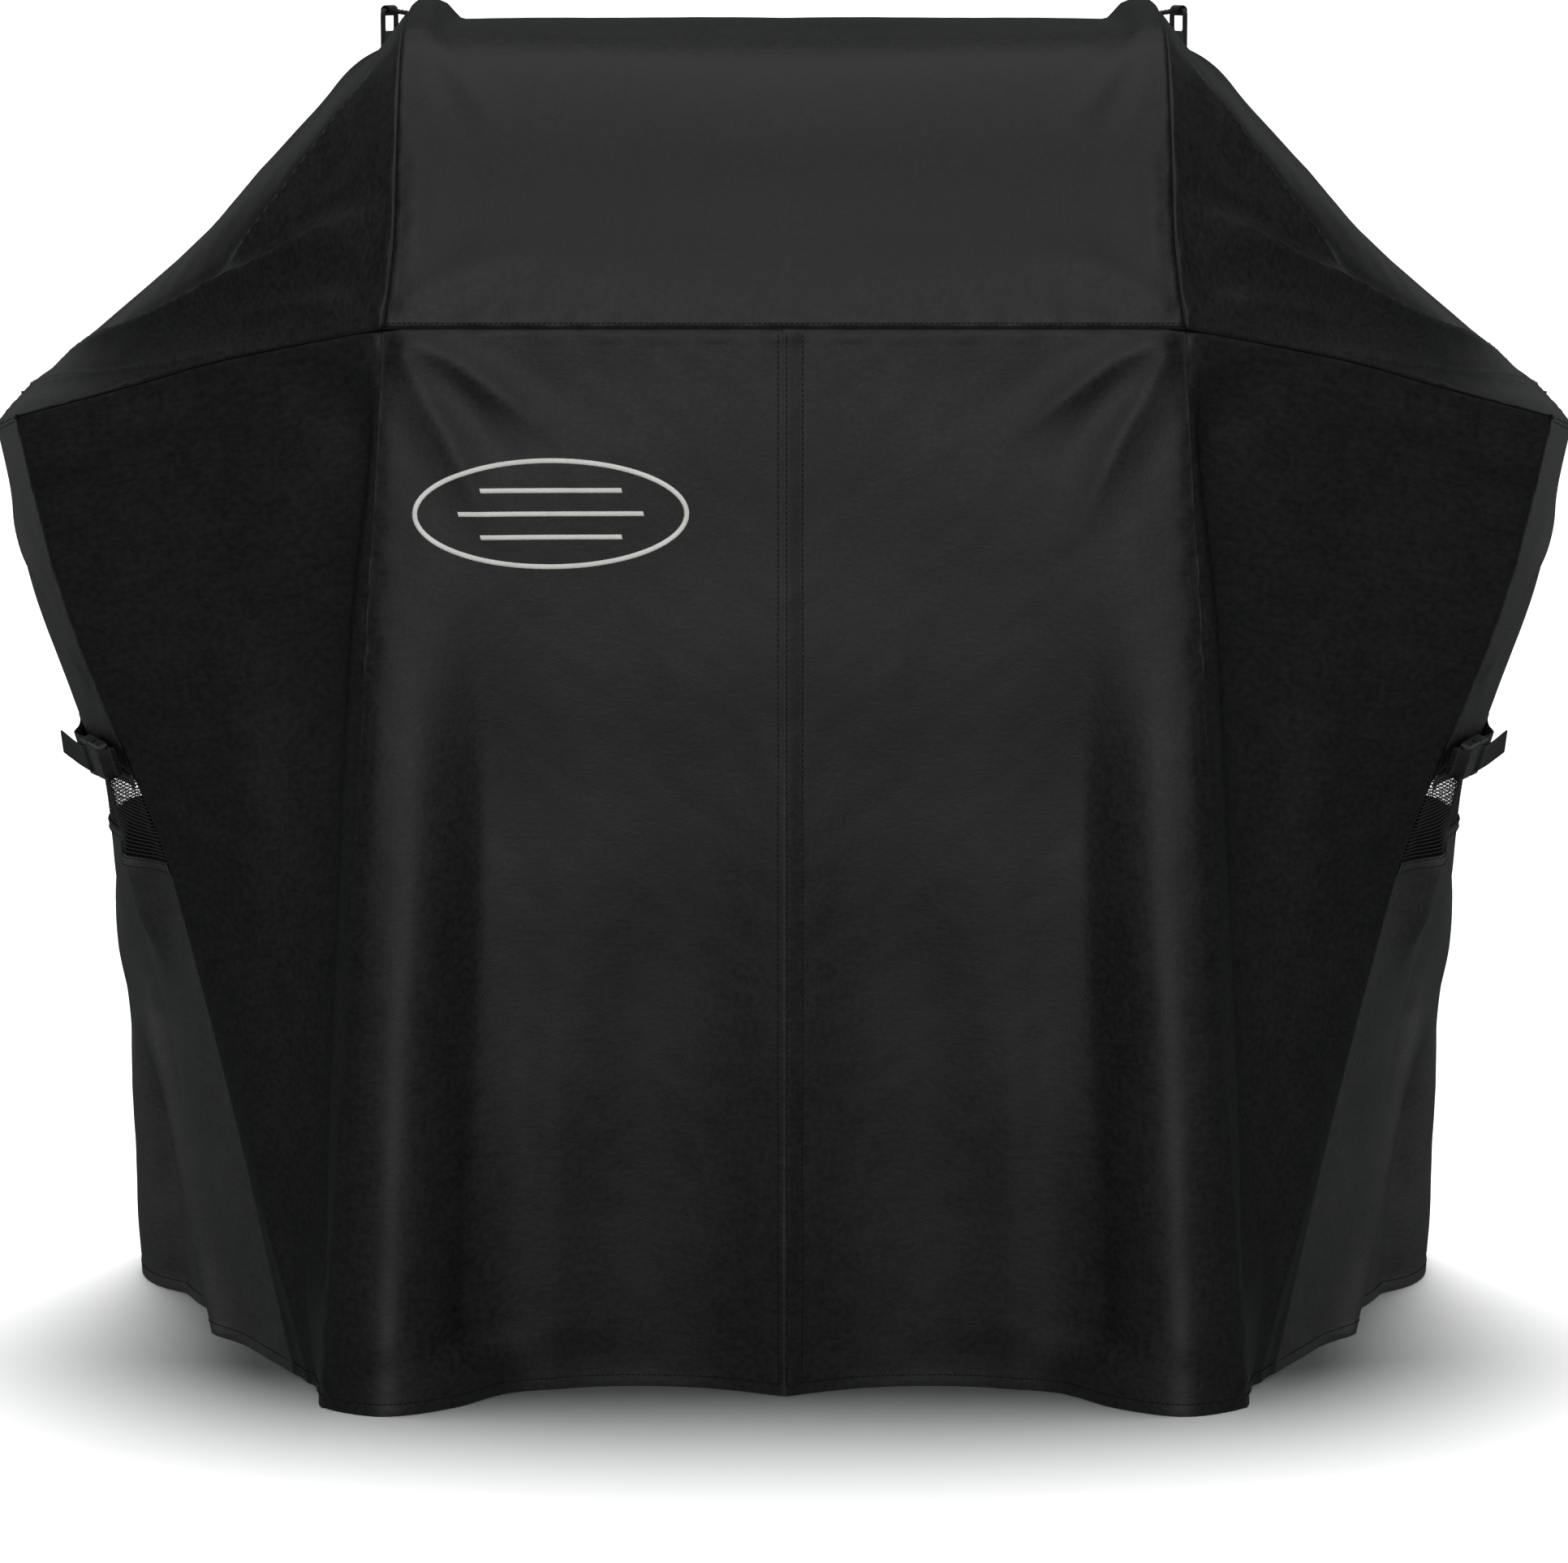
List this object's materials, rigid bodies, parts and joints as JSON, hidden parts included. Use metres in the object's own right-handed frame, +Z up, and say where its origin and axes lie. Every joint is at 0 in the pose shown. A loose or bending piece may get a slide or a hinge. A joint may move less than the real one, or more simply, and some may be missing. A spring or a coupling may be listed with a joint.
{
  "type": "grill cover",
  "caption": "Fitted cloth cover for a gas grill with side shelves: draped panels, mesh side vents, buckled side straps and hanging loops.",
  "frame": {"origin": "on the floor under the middle of the cover's bounding box", "axes": "+Z up, the front faces -Y, +X to the right seen from the front"},
  "size_m": [1.376, 0.6176, 1.1423],
  "materials": {
    "cloth": "matte coated weave",
    "mesh_cloth": "open black mesh",
    "webbing": "woven tape",
    "plastic": "satin moulded",
    "thread": "embroidery thread"
  },
  "bodies": {
    "cover": {"lid_panel": "cloth", "back_upper_panel": "cloth", "back_skirt": "cloth", "back_hem": "cloth", "front_lap": "cloth", "waist_binding": "cloth", "lid_rear_binding": "cloth", "back_shelf_binding": "cloth", "front_skirt_left": "cloth", "front_skirt_right": "cloth", "front_hem_left": "cloth", "front_hem_right": "cloth", "gusset_skirt_left": "cloth", "gusset_skirt_right": "cloth", "gusset_hem_left": "cloth", "gusset_hem_right": "cloth", "slope_panel_left": "cloth", "slope_panel_right": "cloth", "side_panel_left": "cloth", "side_panel_right": "cloth", "side_skirt_left": "cloth", "side_skirt_right": "cloth", "side_hem_left": "cloth", "side_hem_right": "cloth", "lid_binding_left": "cloth", "lid_binding_right": "cloth", "slope_binding_left": "cloth", "slope_binding_right": "cloth", "shelf_front_binding_left": "cloth", "shelf_front_binding_right": "cloth", "shelf_edge_binding_left": "cloth", "shelf_edge_binding_right": "cloth", "corner_binding_left": "cloth", "corner_binding_right": "cloth", "side_front_binding_left": "cloth", "side_front_binding_right": "cloth", "side_rear_binding_left": "cloth", "side_rear_binding_right": "cloth", "side_vent_left": "mesh_cloth", "side_vent_right": "mesh_cloth", "strap_front_left": "webbing", "strap_front_right": "webbing", "strap_rear_left": "webbing", "strap_rear_right": "webbing", "hanging_tab_left": "webbing", "hanging_tab_right": "webbing", "buckle_socket_left": "plastic", "buckle_socket_right": "plastic", "badge_oval": "thread", "badge_bar_1": "thread", "badge_bar_2": "thread", "badge_bar_3": "thread"},
    "plug_left": {"buckle_plug_left": "plastic"},
    "plug_right": {"buckle_plug_right": "plastic"},
    "frame_left": {"hanging_frame_left": "plastic"},
    "frame_right": {"hanging_frame_right": "plastic"}
  },
  "joints": [
    {"name": "buckle_release_right", "type": "slide", "parent": "cover", "child": "plug_right", "axis": [0.4206, 0.9073, 0], "range_m": [0, 0.036]},
    {"name": "buckle_release_left", "type": "slide", "parent": "cover", "child": "plug_left", "axis": [-0.4206, 0.9073, 0], "range_m": [0, 0.036]},
    {"name": "frame_swing_right", "type": "hinge", "parent": "cover", "child": "frame_right", "pos_m": [0.352, 0.27395, 1.128], "axis": [-0.342, 0.9397, 0], "range_deg": [-90, 20]},
    {"name": "frame_swing_left", "type": "hinge", "parent": "cover", "child": "frame_left", "pos_m": [-0.352, 0.27395, 1.128], "axis": [0.342, 0.9397, 0], "range_deg": [-20, 90]}
  ]
}
